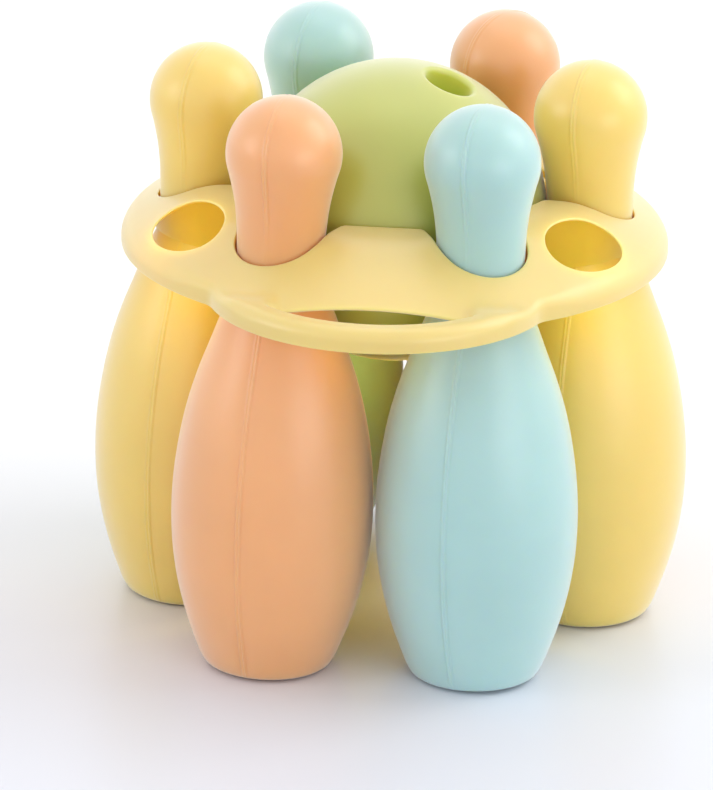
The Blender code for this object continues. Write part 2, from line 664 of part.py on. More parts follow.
def build_flap(side, cutters):
    """The dome carried on past the rim's circle, down to the slot's straight edge."""
    end = math.hypot(SLOT_EDGE_RADIUS, SLOT_HALF_LENGTH) + CUT_OVERRUN
    start = FLAP_START_RADIUS - CUT_OVERRUN
    drop = CARRIER_WALL / math.cos(DOME_SLOPE)
    line = [(start, dome_top(start)), (end, dome_top(end))]
    section = wall_below(line, FLAP_SINK) + wall_below(line[::-1], drop - FLAP_SINK)
    name = "flap_" + side
    flap = add_object(name, turned_mesh(name, section, RIM_SEGMENTS * 2, cutters), cutters)
    side_wall = SLOT_HALF_LENGTH + SEAT_GAP
    far = SLOT_EDGE_RADIUS + FLAP_OVERRUN
    outline = [
        (-side_wall, -FLAP_START_RADIUS), (-side_wall, -far),
        (side_wall, -far), (side_wall, -FLAP_START_RADIUS),
    ]
    low = RIM_BOTTOM_HEIGHT - CUT_OVERRUN
    keep = prism("flap_keep_" + side, outline, low - CUT_OVERRUN, LAND_HEIGHT, cutters)
    combine(flap, [keep], "INTERSECT")
    flap.data.transform(half_turn(side))
    return flap


def side_hole_cutters(cutters):
    """Oval cutters square to the dome's slope, in every gap that has no handle."""
    drills = []
    for step in range(PIN_COUNT):
        angle = ring_angle(step) + ring_angle(1) / 2
        if abs(math.cos(angle)) < math.sin(ring_angle(1) / 4):
            continue
        length = CUT_OVERRUN + CUT_OVERRUN
        name = f"side_hole_{step}"
        half_length = SIDE_HOLE_HALF_LENGTH
        drill = cylinder(name, half_length, -length, length, SIDE_HOLE_SEGMENTS, cutters)
        oval = Matrix.Diagonal((SIDE_HOLE_HALF_WIDTH / half_length, 1, 1, 1))
        centre = Matrix.Translation((SIDE_HOLE_RING_RADIUS, 0, dome_top(SIDE_HOLE_RING_RADIUS)))
        tilt = centre @ Matrix.Rotation(DOME_SLOPE, 4, "Y")
        shift = math.copysign(SIDE_HOLE_TURN, math.sin(angle) * math.cos(angle))
        drill.data.transform(Matrix.Rotation(angle + shift, 4, "Z") @ tilt @ oval)
        drills.append(as_cutter(drill))
    return drills


def opening_cutters(cutters):
    """The six-sided opening for the ball, and the notch for each neck."""
    low = RIM_BOTTOM_HEIGHT - CUT_OVERRUN - CUT_OVERRUN
    high = LAND_HEIGHT + CUT_OVERRUN
    corner = LAND_APOTHEM / math.cos(ring_angle(1) / 2)
    outline = [
        (corner * math.cos(ring_angle(step)), corner * math.sin(ring_angle(step)))
        for step in range(PIN_COUNT)
    ]
    tools = [as_cutter(prism("ball_opening", outline, low, high, cutters))]
    for step in range(PIN_COUNT):
        outline = notch_outline(NOTCH_RADIUS, LAND_APOTHEM / 2)
        notch = prism(f"notch_{step}", outline, low, high, cutters)
        notch.data.transform(Matrix.Rotation(ring_angle(step), 4, "Z"))
        tools.append(as_cutter(notch))
    return tools


def build_carrier(collection, cutters):
    shell = turned_mesh("carrier_shell", carrier_profile(), RIM_SEGMENTS, collection)
    carrier = add_object("carrier", shell, collection)
    combine(carrier, [build_handle(side, cutters) for side in ("front", "back")], "UNION")
    rooms = [flap_clearance(side, cutters) for side in ("front", "back")]
    combine(carrier, rooms, "DIFFERENCE")
    combine(carrier, [build_flap(side, cutters) for side in ("front", "back")], "UNION")
    combine(carrier, build_hems(cutters), "UNION")
    cuts = opening_cutters(cutters) + side_hole_cutters(cutters)
    cuts += [slot_cutter(side, cutters) for side in ("front", "back")]
    combine(carrier, cuts, "DIFFERENCE")
    carrier.data.materials.append(make_material("carrier_plastic", CREAM))
    smooth(carrier.data)


def main():
    clear_scene()
    bowling_set = new_collection("toy_bowling_set")
    cutters = new_collection("cutters")
    build_pins(bowling_set)
    build_ball(bowling_set, cutters)
    build_carrier(bowling_set, cutters)


main()
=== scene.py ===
import math

import bmesh
import bpy
import numpy as np
from mathutils import Matrix, Vector
from mathutils.geometry import delaunay_2d_cdt


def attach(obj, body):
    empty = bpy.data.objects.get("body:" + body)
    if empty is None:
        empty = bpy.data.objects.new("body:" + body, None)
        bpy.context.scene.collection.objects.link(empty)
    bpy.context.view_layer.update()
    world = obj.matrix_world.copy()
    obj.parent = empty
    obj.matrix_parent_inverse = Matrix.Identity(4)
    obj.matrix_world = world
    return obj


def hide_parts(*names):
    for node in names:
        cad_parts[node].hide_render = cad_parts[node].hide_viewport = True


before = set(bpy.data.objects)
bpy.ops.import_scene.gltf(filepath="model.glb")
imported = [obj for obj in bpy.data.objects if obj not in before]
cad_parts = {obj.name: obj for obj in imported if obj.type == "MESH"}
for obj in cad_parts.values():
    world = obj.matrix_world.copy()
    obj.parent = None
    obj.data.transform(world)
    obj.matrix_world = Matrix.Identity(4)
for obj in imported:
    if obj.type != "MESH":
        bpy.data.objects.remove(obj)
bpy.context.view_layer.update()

# The toy's sizes are in millimetres and turn into metres where a mesh is made.
# The stage, the lamps, the camera and the depths of the materials are in metres.
MM = 0.001
WELD = 0.002

# Pins, each some steps round the ring from the right one
PIN_TURN = math.pi / 3
PIN_STEPS = {
    "pin_right": 0, "pin_back_right": 1, "pin_back_left": 2,
    "pin_left": 3, "pin_front_left": 4, "pin_front_right": 5,
}
PIN_SLOTS = {
    "pin_right": "yellow_plastic", "pin_left": "yellow_plastic", "pin_back_right": "peach_plastic",
    "pin_front_left": "peach_plastic", "pin_back_left": "mint_plastic", "pin_front_right": "mint_plastic",
}
SEAM_BEARINGS = {
    "pin_right": -106, "pin_back_right": 168, "pin_back_left": 130,
    "pin_left": 70, "pin_front_left": 16.3, "pin_front_right": -45,
}
PIN_H = 210.0
BELLY_R = 36.05
BELLY_H = 59.0
BASE_R = 22.6
NECK_R = 15.2
NECK_H = PIN_H * 0.6952
HEAD_R = 20.45
HEAD_BLEND = math.radians(-18)
LEAN = math.radians(1.65)
PIN_GAP = 1.0
RING_R = (BELLY_R + PIN_GAP / 2) / math.sin(PIN_TURN / 2) + BELLY_H * math.sin(LEAN)
LIFT = BASE_R * math.sin(LEAN)

# A pin's side between its main radii, as share of the height and share of the way between the radii
BASE_TO_BELLY = ((0.0, 0.0), (0.05, 0.13), (0.14, 0.29), (0.34, 0.59), (0.60, 0.86), (1.0, 1.0))
BELLY_TO_NECK = (
    (0.126, 0.980), (0.241, 0.927), (0.356, 0.848), (0.471, 0.739), (0.586, 0.593),
    (0.701, 0.418), (0.816, 0.245), (0.874, 0.145), (0.931, 0.042), (1.0, 0.0),
)
NECK_TO_HEAD = ((0.24, 0.06), (0.48, 0.16), (0.70, 0.39), (0.87, 0.70), (1.0, 1.0))

# Rows of a pin's mesh, as radius and height: the foot, then the recess and the hollow round the stopper
FOOT_ROWS = ((17.0, 0.0), (20.6, 0.0), (21.6, 0.06), (22.3, 0.35))
RECESS_ROWS = (
    (17.0, 0.0), (16.6, 0.25), (14.4, 2.2), (13.8, 2.55), (13.0, 2.6), (6.4, 2.6), (6.0, 2.9), (6.0, 3.9),
    (6.3, 4.2), (13.8, 4.2), (15.2, 5.0), (15.6, 14.0), (12.0, 20.0), (5.0, 22.0), (0.0, 22.4),
)
LOW_HEIGHTS = (1.0, 1.6, 2.4, 3.4)
BODY_START = 4.8
BODY_ROWS = 92
HEAD_ROWS = 30
COLS_BETWEEN = 36
TINY_R = 0.01

# A parting line is two fine ridges, given by their places across it and their rise.
# Waves of a given rise and rate wear it, and it fades at both ends and where a notch passes.
SEAM_MM = (-1.6, -0.98, -0.64, -0.34, 0.0, 0.34, 0.64, 0.98, 1.6)
SEAM_RISE = (0.0, -0.14, 0.62, 0.36, 0.20, 0.36, 0.62, -0.14, 0.0)
SEAM_MOST_TURN = 0.3
SEAM_LEVEL = 0.70
SEAM_WAVES = ((0.18, 0.11), (0.12, 0.37))
SEAM_UPPER_H = 100
SEAM_END_R = 3.0
SEAM_END_H = 4.0
SEAM_NOTCH_H = 153
SEAM_NOTCH_REACH = 20
SEAM_NOTCH_FADE = 0.85
FIRST_SEED = 40
FULL_TURN = 6.28

# Ball
BALL_R = 54.85
BALL_Z = NECK_H + 5.6
BORE_R = 8.8
LIP_R = 1.8
CUP_DEPTH = 17.0
CUP_FILLET = 1.5
THUMB_AZIMUTH = math.radians(-12.2)
THUMB_ELEVATION = math.radians(69.3)
FINGER_BEARING = math.radians(94)
FINGER_REACH = math.radians(38)
FINGER_SPREAD = math.radians(17)
VENT_R = 2.0
VENT_TAPER = 0.92
VENT_DEPTH = 2.5

# The ball's mesh: rings round each finger hole, as shares of its mouth, and rows round the ball
BORE_RINGS = (1.32, 1.16, 1.06, 1.0)
BORE_CLEAR = 1.10
BORE_COLS = 64
BORE_SIDE = (0.3, 0.9, -0.1)
LIP_STEPS = 5
WALL_STEPS = 8
FILLET_STEPS = 4
CUP_SHARES = (0.6, 0.35, 0.15)
BALL_ROW_DEG = 3
BALL_ROWS = 60
BALL_COLS = 124
BALL_LEAST_COLS = 24
PLAN_EYE = 1.0001
SAME_WAY = 1e-7

# Carrier
LAND_Z = 163.1
LAND_A = 54.43
LAND_CORNER = 1.6
LAND_LEAD = 4
FLAT_R = 63.03
BEND_R = 28.0
SLOPE = math.radians(29.4)
RIM_R = 99.2
RIM_Z = 139.7
BOW_C = 60.1
BOW_R = 61.3
BOW_Z = 147.9
BOW_RISE = (79, 97)
BOW_BLEND = 1.2
BOW_FILLET = 10.0
BAR_W = 8.5
WAIST = (57.7, 80.7)
WAIST_REACH = (4, 26)
SLOT_EDGE = 97.8
SLOT_HALF = 35.0
SLOT_CORNER = 1.2
FLAP_SIDES = (31.0, 37.5)
FLAP_STEP = (0.2, 0.8)
FLAP_MARGIN = 0.25
NOTCH_R = 16.35
NOTCH_C = 70.05
NOTCH_TAPER = math.radians(6)
NOTCH_MARGIN = 0.4
NOTCH_START = 50
HOLE_LENGTH = 17.7
HOLE_WIDTH = 13.2
HOLE_C = 82.0
HOLE_BEARINGS = (31.2, 148.8, 211.2, 328.8)

# The carrier's wall, its hems and the radii of its rounded edges
SHELL = 2.4
EDGE_SHELL = 0.5
THIN_BAND = (0.8, 3.4)
LEAST_WALL = 0.3
RIM_ROUND = 5.0
WAIST_ROUND = 2.4
EDGE_ROUNDS = {"bar": 1.6, "flap": 0.4, "hole": 0.4, "notch": 0.8, "land": 0.8}
UNDER_ROUND = 0.35
HEM_WALL = 2.2
NOTCH_WALL = 1.6
HEM_SOFT = 0.25
HEM_SLOPE = math.radians(10)
HEM_C = 70.3
BAR_HEM = 0.1

# Which of the carrier's faces take the painted glow, a deeper warmer yellow that stands for light bounced
# about and passed through the plastic, by distance and by the normal's height
RIM_CLEAR = 1.2
CUT_REACH = 0.7
LOOKS_DOWN = -0.02
LOOKS_SIDEWAYS = 0.4

# The carrier's mesh
LOOP_KINDS = ("rim", "opening", "slot", "slot", "hole", "hole", "hole", "hole")
EDGE_KINDS = ("rim", "bar", "flap", "hole", "notch", "land")
EDGE_RINGS = (0.12, 0.35, 0.75, 1.3, 1.85, 2.3, 2.9, 3.7)
RING_SLACK = (0.02, 0.01)
DRAFT_SPACING = 1.0
NOTCH_SPACING = 0.8
BLEND_SPACING = 0.5
CORNER_SPACING = 0.3
RIM_SPACING = 1.25
CUT_SPACING = 1.0
HOLE_SPACING = 1.1
HOLE_POINTS = 120
CELL = 0.5
CROWD = 0.1
LATTICE = 2.2
LATTICE_ROW = LATTICE * 0.866
LATTICE_REACH = 122
LATTICE_CLEAR = 0.9
WALL_SHARES = (0.33, 0.67)
SAME_PLACE = 1e-6
NO_LENGTH = 1e-12
CHUNK = 64

# Stage and lamps; a softbox is its place, its size and its power, a glow its power and its colour
FLOOR_REACH = 6.0
FLOOR_ROUGHNESS = 0.35
FLOOR_GLOSS = 0.25
# Painted shade on the floor near the camera, and the span of depth over which it fades to white
FLOOR_PAINTED_SHADE = (0.77, 0.79, 0.875, 1)
FLOOR_FADE = (-0.05, 0.35)
WHITE = (1.0, 1.0, 1.0, 1)
SKY_LIGHT = 0.80
SKY_SEEN = 1.7
LAMP_AIM = (0, 0, 0.1)
SOFTBOXES = {
    "softbox_left": ((-1.28, -0.59, 0.62), (0.6, 0.6), 3.3),
    "softbox_right": ((1.12, 0.22, 1.07), (0.9, 0.9), 7.2),
    "softbox_front": ((1.08, -1.12, 0.35), (1.0, 0.6), 4.2),
    "softbox_top": ((0.0, 0.3, 1.7), (1.1, 0.9), 2.8),
}
GLOW_R = 0.008
GLOW_MIDDLE_Z = 0.09
GLOW_MIDDLE = (0.035, (1.0, 0.72, 0.08))
GLOW_HOLE_R = 0.083
GLOW_HOLE_Z = 0.140
GLOW_HOLE = (0.013, (1.0, 0.92, 0.02))
GLOW_THUMB_DEPTH = 0.012
GLOW_THUMB = (0.0016, (0.85, 1.0, 0.35))
GLOW_SLOT_Y = 0.08184
GLOW_SLOT_Z = 0.128
GLOW_SLOT = (0.005, (1.0, 0.75, 0.15))

# Camera, fitted to the outlines in the photograph. The picture's sizes, its centre and the focal
# length are in pixels, and the sensor's width is in millimetres.
CAMERA_ELEVATION = math.radians(20.476)
CAMERA_AZIMUTH = math.radians(4.497)
CAMERA_ROLL = math.radians(1.385)
CAMERA_DISTANCE = 1.77864
AIM_Z = 0.081918
PICTURE_W = 713
PICTURE_H = 790
FOCAL_PX = 4844.3
CENTRE_PX = (391.19, 387.72)
SENSOR_W = 36
CLIP_END = 30


def srgb(r, g, b):
    """A colour written as 0 to 255 values, as scene-linear numbers."""
    def one(v):
        v = v / 255
        return v / 12.92 if v <= 0.04045 else ((v + 0.055) / 1.055) ** 2.4
    return (one(r), one(g), one(b), 1.0)


def smoothstep(a, b, x):
    t = np.clip((np.asarray(x, float) - a) / (b - a), 0, 1)
    return t * t * (3 - 2 * t)


# Materials

COLOURS = {
    "yellow_plastic": srgb(235, 205, 103),
    "peach_plastic": srgb(232, 169, 109),
    "mint_plastic": srgb(167, 206, 204),
    "green_plastic": srgb(184, 189, 80),
    "cream_plastic": srgb(224, 202, 118),
}
# Painted glow: a deeper, warmer yellow for the carrier's underside and notch walls, standing for light
# bounced about and passed through the plastic
PAINTED_GLOW_COLOUR = srgb(240, 196, 70)
PLASTIC = {
    "Subsurface Weight": 0.7, "Subsurface Radius": (1.0, 0.7, 0.35), "IOR": 1.5,
    "Specular IOR Level": 0.65, "Coat Weight": 0.5, "Coat Roughness": 0.6, "Sheen Roughness": 0.45,
}
BODY_DEPTH = 0.016
PLATE_DEPTH = 0.004
BODY_SHEEN = 0.6
PLATE_SHEEN = 0.4
PAINTED_GLOW_SHEEN = 0.1
ROUGHNESS = (0.31, 0.40)

# Noise as scale and detail, and for the two bumps then strength and depth
MOTTLING = (28, 3)
MOTTLING_EDGES = (0.35, 0.68)
MOTTLING_SHADES = (0.97, 1.018)
PEEL = (900, 2, 0.25, 0.00006)
WAVE = (60, 1, 0.35, 0.0004)


def noise(tree, place, scale, detail):
    node = tree.nodes.new("ShaderNodeTexNoise")
    node.inputs["Scale"].default_value = scale
    node.inputs["Detail"].default_value = detail
    tree.links.new(place.outputs["Object"], node.inputs["Vector"])
    return node.outputs["Fac"]


def bump(tree, place, scale, detail, strength, depth):
    node = tree.nodes.new("ShaderNodeBump")
    node.inputs["Strength"].default_value = strength
    node.inputs["Distance"].default_value = depth
    tree.links.new(noise(tree, place, scale, detail), node.inputs["Height"])
    return node


def mottled(tree, cloud, colour):
    """The colour, a little darker and lighter in soft-edged clouds."""
    ramp = tree.nodes.new("ShaderNodeValToRGB")
    for element, edge, shade in zip(ramp.color_ramp.elements, MOTTLING_EDGES, MOTTLING_SHADES):
        element.position = edge
        element.color = tuple(min(1, c * shade) for c in colour[:3]) + (1,)
    tree.links.new(cloud, ramp.inputs["Fac"])
    return ramp.outputs["Color"]


def plastic(name, colour, depth, sheen):
    """Soft moulded plastic: faint mottling, fine orange peel, a little light under the skin."""
    mat = bpy.data.materials.new(name)
    mat.use_nodes = True
    tree = mat.node_tree
    shader = tree.nodes["Principled BSDF"]
    for socket, value in PLASTIC.items():
        shader.inputs[socket].default_value = value
    shader.inputs["Subsurface Scale"].default_value = depth
    shader.inputs["Sheen Weight"].default_value = sheen
    place = tree.nodes.new("ShaderNodeTexCoord")
    cloud = noise(tree, place, *MOTTLING)
    tree.links.new(mottled(tree, cloud, colour), shader.inputs["Base Color"])
    gloss = tree.nodes.new("ShaderNodeMapRange")
    gloss.inputs["To Min"].default_value = ROUGHNESS[0]
    gloss.inputs["To Max"].default_value = ROUGHNESS[1]
    tree.links.new(cloud, gloss.inputs["Value"])
    tree.links.new(gloss.outputs["Result"], shader.inputs["Roughness"])
    peel = bump(tree, place, *PEEL)
    wave = bump(tree, place, *WAVE)
    tree.links.new(peel.outputs["Normal"], wave.inputs["Normal"])
    tree.links.new(wave.outputs["Normal"], shader.inputs["Normal"])
    return mat


def make_materials():
    """One plastic for each slot; light goes less far into the thin plate than into the bodies."""
    mats = {}
    for name, colour in COLOURS.items():
        if name == "cream_plastic":
            mats[name] = plastic(name, colour, PLATE_DEPTH, PLATE_SHEEN)
        else:
            mats[name] = plastic(name, colour, BODY_DEPTH, BODY_SHEEN)
    return mats


MATS = make_materials()
# A copy of the cream plastic in the painted glow colour, for faces where bounced light is painted in
CREAM_PAINTED_GLOW = plastic("cream_plastic_painted_glow", PAINTED_GLOW_COLOUR, PLATE_DEPTH, PAINTED_GLOW_SHEEN)


def make_piece(name, verts, faces, slot, body, replaced):
    """A mesh from points in millimetres, riding a body and standing for a CAD node."""
    mesh = bpy.data.meshes.new(name)
    mesh.from_pydata([tuple(v) for v in np.asarray(verts) * MM], [], [tuple(f) for f in faces])
    mesh.validate()
    grid = bmesh.new()
    grid.from_mesh(mesh)
    bmesh.ops.remove_doubles(grid, verts=grid.verts, dist=WELD * MM)
    bmesh.ops.recalc_face_normals(grid, faces=grid.faces)
    grid.to_mesh(mesh)
    grid.free()
    mesh.shade_smooth()
    mesh.materials.append(MATS[slot])
    piece = bpy.data.objects.new(name, mesh)
    bpy.context.scene.collection.objects.link(piece)
    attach(piece, body)
    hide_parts(replaced)
    return piece


# Pins

def pin_knots():
    """Heights and radii that the pin's side passes through, up to where the round head begins."""
    blend_h = PIN_H - HEAD_R + HEAD_R * math.sin(HEAD_BLEND)
    blend_r = HEAD_R * math.cos(HEAD_BLEND)
    points = [(BELLY_H * up, BASE_R + (BELLY_R - BASE_R) * out) for up, out in BASE_TO_BELLY]
    for up, out in BELLY_TO_NECK:
        points.append((BELLY_H + (NECK_H - BELLY_H) * up, NECK_R + (BELLY_R - NECK_R) * out))
    for up, out in NECK_TO_HEAD:
        points.append((NECK_H + (blend_h - NECK_H) * up, NECK_R + (blend_r - NECK_R) * out))
    return np.array(points)


def hermite(knots, places, end_slope):
    """Smooth curve through the knots, with its slope at the last one given."""
    at, value = knots[:, 0], knots[:, 1]
    gap = np.diff(at)
    rise = np.diff(value) / gap
    slope = np.empty(len(at))
    slope[1:-1] = (rise[:-1] * gap[1:] + rise[1:] * gap[:-1]) / (gap[1:] + gap[:-1])
    slope[0] = rise[0]
    slope[-1] = end_slope
    k = np.clip(np.searchsorted(at, places) - 1, 0, len(at) - 2)
    t = (places - at[k]) / gap[k]
    before = (2 * t ** 3 - 3 * t ** 2 + 1) * value[k] + (t ** 3 - 2 * t ** 2 + t) * gap[k] * slope[k]
    after = (-2 * t ** 3 + 3 * t ** 2) * value[k + 1] + (t ** 3 - t ** 2) * gap[k] * slope[k + 1]
    return before + after


def pin_rows():
    """Outer section of a pin from the foot's inner edge up to the top of the head."""
    knots = pin_knots()
    heights = np.concatenate([LOW_HEIGHTS, np.linspace(BODY_START, knots[-1, 0], BODY_ROWS)])
    radii = hermite(knots, heights, math.tan(-HEAD_BLEND))
    rows = list(FOOT_ROWS) + list(zip(radii, heights))
    for angle in np.linspace(HEAD_BLEND, math.pi / 2, HEAD_ROWS)[1:]:
        rows.append((HEAD_R * math.cos(angle), PIN_H - HEAD_R + HEAD_R * math.sin(angle)))
    rows[-1] = (0.0, PIN_H)
    return rows


def seam_wear(radius, height, phase):
    """How much of its rise a parting line keeps at a row of the pin."""
    wear = SEAM_LEVEL
    for (rise, rate), start in zip(SEAM_WAVES, phase):
        wear += rise * math.sin(height * rate + start)
    if height > SEAM_UPPER_H:
        wear *= min(1.0, radius / SEAM_END_R)
    wear *= min(1.0, height / SEAM_END_H)
    return wear * (1.0 - SEAM_NOTCH_FADE * math.exp(-((height - SEAM_NOTCH_H) / SEAM_NOTCH_REACH) ** 4))


def pin_ring(radius, height, phase):
    """Angles and radii round one row: on each side a parting line, then even steps to the other."""
    angles = []
    rises = []
    for side in (0, 1):
        start = math.pi * side
        turns = [min(abs(mm) / max(radius, TINY_R), SEAM_MOST_TURN * abs(mm)) for mm in SEAM_MM]
        turns = [math.copysign(turn, mm) for turn, mm in zip(turns, SEAM_MM)]
        wear = seam_wear(radius, height, phase[side::2])
        angles += [start + turn for turn in turns]
        rises += [rise * wear for rise in SEAM_RISE]
        span_start = start + turns[-1]
        span_end = start + math.pi + turns[0]
        for step in range(1, COLS_BETWEEN + 1):
            angles.append(span_start + (span_end - span_start) * step / (COLS_BETWEEN + 1))
            rises.append(0.0)
    return [(angle, radius + rise if radius > TINY_R else 0.0) for angle, rise in zip(angles, rises)]


def ring_faces(base, rows, width, inward):
    """Quads between the rows of a turned mesh whose first vertex has the number base."""
    faces = []
    for i in range(rows - 1):
        low = base + i * width
        high = low + width
        for j in range(width):
            k = (j + 1) % width
            if inward:
                faces.append((low + k, low + j, high + j, high + k))
            else:
                faces.append((low + j, low + k, high + k, high + j))
    return faces


def pin_mesh(seed):
    """Turned pin with a parting line on two opposite sides, and the recess in its base."""
    phase = np.random.default_rng(seed).uniform(0, FULL_TURN, 2 * len(SEAM_WAVES))
    rows = pin_rows()
    width = 2 * (len(SEAM_MM) + COLS_BETWEEN)
    verts = []
    for radius, height in rows:
        verts += [(r * math.cos(a), r * math.sin(a), height) for a, r in pin_ring(radius, height, phase)]
    faces = ring_faces(0, len(rows), width, False)
    faces += ring_faces(len(verts), len(RECESS_ROWS), width, True)
    angles = [math.atan2(y, x) for x, y, _ in verts[:width]]
    for radius, height in RECESS_ROWS:
        verts += [(radius * math.cos(a), radius * math.sin(a), height) for a in angles]
    return np.array(verts), faces


def pin_frame(step):
    turn = Matrix.Rotation(PIN_TURN * step, 4, "Z")
    return turn @ Matrix.Translation((RING_R, 0, LIFT)) @ Matrix.Rotation(-LEAN, 4, "Y")


def put(points, matrix):
    m = np.array(matrix)
    return points @ m[:3, :3].T + m[:3, 3]


def build_pins():
    for count, (name, step) in enumerate(PIN_STEPS.items()):
        points, faces = pin_mesh(FIRST_SEED + count)
        seam = Matrix.Rotation(math.radians(SEAM_BEARINGS[name]), 4, "Z")
        points = put(points, pin_frame(step) @ seam)
        make_piece(name + "_body", points, faces, PIN_SLOTS[name], name, name)
        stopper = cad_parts[name + "_stopper"]
        stopper.data.materials.clear()
        stopper.data.materials.append(MATS[PIN_SLOTS[name]])


# Ball

def unit(azimuth, elevation):
    flat = math.cos(elevation)
    return np.array([flat * math.cos(azimuth), flat * math.sin(azimuth), math.sin(elevation)])


def finger_ways():
    """Directions of the thumb hole and the two finger holes from the ball's centre."""
    thumb = unit(THUMB_AZIMUTH, THUMB_ELEVATION)
    bearing = unit(FINGER_BEARING, 0)
    away = bearing - thumb * bearing.dot(thumb)
    away /= np.linalg.norm(away)
    side = np.cross(away, thumb) * math.sin(FINGER_SPREAD)
    middle = thumb * math.cos(FINGER_REACH) + away * math.sin(FINGER_REACH)
    return [thumb] + [middle * math.cos(FINGER_SPREAD) + side * sign for sign in (-1, 1)]


def quarter(steps):
    """Angles from 0 to a quarter turn."""
    return np.linspace(0, math.pi / 2, steps + 1)


def cup_section():
    """Points (radius, depth) from the ball's surface over the lip, down the wall to the middle."""
    section = []
    for angle in quarter(LIP_STEPS):
        section.append((BORE_R + LIP_R - LIP_R * math.sin(angle), LIP_R - LIP_R * math.cos(angle)))
    fillet_r = BORE_R - CUP_FILLET
    fillet_depth = CUP_DEPTH - CUP_FILLET
    section += [(BORE_R, depth) for depth in np.linspace(LIP_R, fillet_depth, WALL_STEPS + 1)[1:]]
    for angle in quarter(FILLET_STEPS)[1:]:
        section.append((fillet_r + CUP_FILLET * math.cos(angle), fillet_depth + CUP_FILLET * math.sin(angle)))
    return section + [(BORE_R * share, CUP_DEPTH) for share in CUP_SHARES]


def bore_points(way):
    """Directions and points of one finger hole: rings round it on the ball, then down into the cup."""
    section = cup_section()
    mouth = math.asin((BORE_R + LIP_R) / BALL_R)
    mouth_out = math.sqrt(BALL_R ** 2 - (BORE_R + LIP_R) ** 2)
    side = np.cross(way, BORE_SIDE)
    side /= np.linalg.norm(side)
    other = np.cross(way, side)
    rings = []
    for k, share in enumerate(BORE_RINGS):
        angle = mouth * share
        rings.append((angle, 0.5 * (k % 2), BALL_R * math.cos(angle), BALL_R * math.sin(angle)))
    for k, (radius, depth) in enumerate(section[1:], 1):
        rings.append((mouth * (1 - k / len(section)), 0, mouth_out - depth, radius))
    found = []
    for angle, shift, along, radius in rings:
        for j in range(BORE_COLS):
            t = 2 * math.pi * (j + shift) / BORE_COLS
            out = side * math.cos(t) + other * math.sin(t)
            found.append((way * math.cos(angle) + out * math.sin(angle), way * along + out * radius))
    return found + [(way, way * (mouth_out - CUP_DEPTH))]


def sphere_points(ways):
    """Directions and points of the ball's own rows, clear of the finger holes, down to the vent."""
    mouth = math.asin((BORE_R + LIP_R) / BALL_R)
    limit = math.cos(mouth * BORE_RINGS[0] * BORE_CLEAR)
    found = []
    for row in range(BALL_ROWS + 1):
        polar = math.radians(BALL_ROW_DEG * row)
        if row == BALL_ROWS:
            polar = math.pi - math.asin(VENT_R / BALL_R)
        steps = max(BALL_LEAST_COLS, int(round(BALL_COLS * math.sin(polar)))) if row else 1
        for j in range(steps):
            direction = unit(2 * math.pi * (j + 0.5 * (row % 2)) / steps, math.pi / 2 - polar)
            if max(direction.dot(way) for way in ways) <= limit:
                found.append((direction, direction * BALL_R))
    return found


def flat_place(direction):
    """A direction's place in a flat plan of the whole ball, seen from just below its bottom."""
    return Vector((direction[0] / (PLAN_EYE + direction[2]), direction[1] / (PLAN_EYE + direction[2])))


def close_vent(grid):
    """Draws the open edge at the bottom in and up, and closes it there."""
    edge = [e for e in grid.edges if len(e.link_faces) == 1]
    vent = bmesh.ops.extrude_edge_only(grid, edges=edge)["geom"]
    for item in vent:
        if isinstance(item, bmesh.types.BMVert):
            item.co.x *= VENT_TAPER
            item.co.y *= VENT_TAPER
            item.co.z += VENT_DEPTH
    bmesh.ops.edgeloop_fill(grid, edges=[e for e in vent if isinstance(e, bmesh.types.BMEdge)])


def build_ball():
    """One skin over the ball and into its finger holes, joined up in a flat plan of the points."""
    ways = finger_ways()
    found = [pair for way in ways for pair in bore_points(way)] + sphere_points(ways)
    plan = [flat_place(direction) for direction, _ in found]
    _, _, faces, origin, _, _ = delaunay_2d_cdt(plan, [], [], 0, SAME_WAY)
    grid = bmesh.new()
    made = [grid.verts.new(found[ids[0]][1]) for ids in origin]
    for face in faces:
        grid.faces.new([made[i] for i in face])
    close_vent(grid)
    grid.verts.index_update()
    points = np.array([v.co[:] for v in grid.verts]) + (0, 0, BALL_Z)
    polys = [tuple(v.index for v in f.verts) for f in grid.faces]
    grid.free()
    make_piece("ball_skin", points, polys, "green_plastic", "ball", "ball")


# Carrier outlines, in plan

def arc(cx, cy, radius, start, end, spacing):
    steps = max(2, int(abs(end - start) * radius / spacing))
    angles = np.linspace(start, end, steps + 1)
    return [(cx + radius * math.cos(a), cy + radius * math.sin(a)) for a in angles]


def line(a, b, spacing):
    steps = max(1, int(math.dist(a, b) / spacing))
    return [(a[0] + (b[0] - a[0]) * k / steps, a[1] + (b[1] - a[1]) * k / steps) for k in range(steps + 1)]


def turned(points, turn):
    c, s = math.cos(turn), math.sin(turn)
    return [(x * c - y * s, x * s + y * c) for x, y in points]


def rounded(points, radii, spacing):
    """A closed outline through corner points, each corner rounded to its own radius."""
    out = []
    for i, radius in enumerate(radii):
        corner = np.array(points[i])
        if radius <= 0:
            out.append(tuple(corner))
            continue
        back = np.array(points[i - 1]) - corner
        ahead = np.array(points[(i + 1) % len(points)]) - corner
        back /= np.linalg.norm(back)
        ahead /= np.linalg.norm(ahead)
        half = math.acos(np.clip(back.dot(ahead), -1, 1)) / 2
        reach = radius / math.tan(half)
        centre = corner + (back + ahead) / np.linalg.norm(back + ahead) * (radius / math.sin(half))
        first = corner + back * reach - centre
        last = corner + ahead * reach - centre
        start = math.atan2(first[1], first[0])
        turn = (math.atan2(last[1], last[0]) - start + math.pi) % (2 * math.pi) - math.pi
        out += arc(centre[0], centre[1], radius, start, start + turn, spacing)
    return out


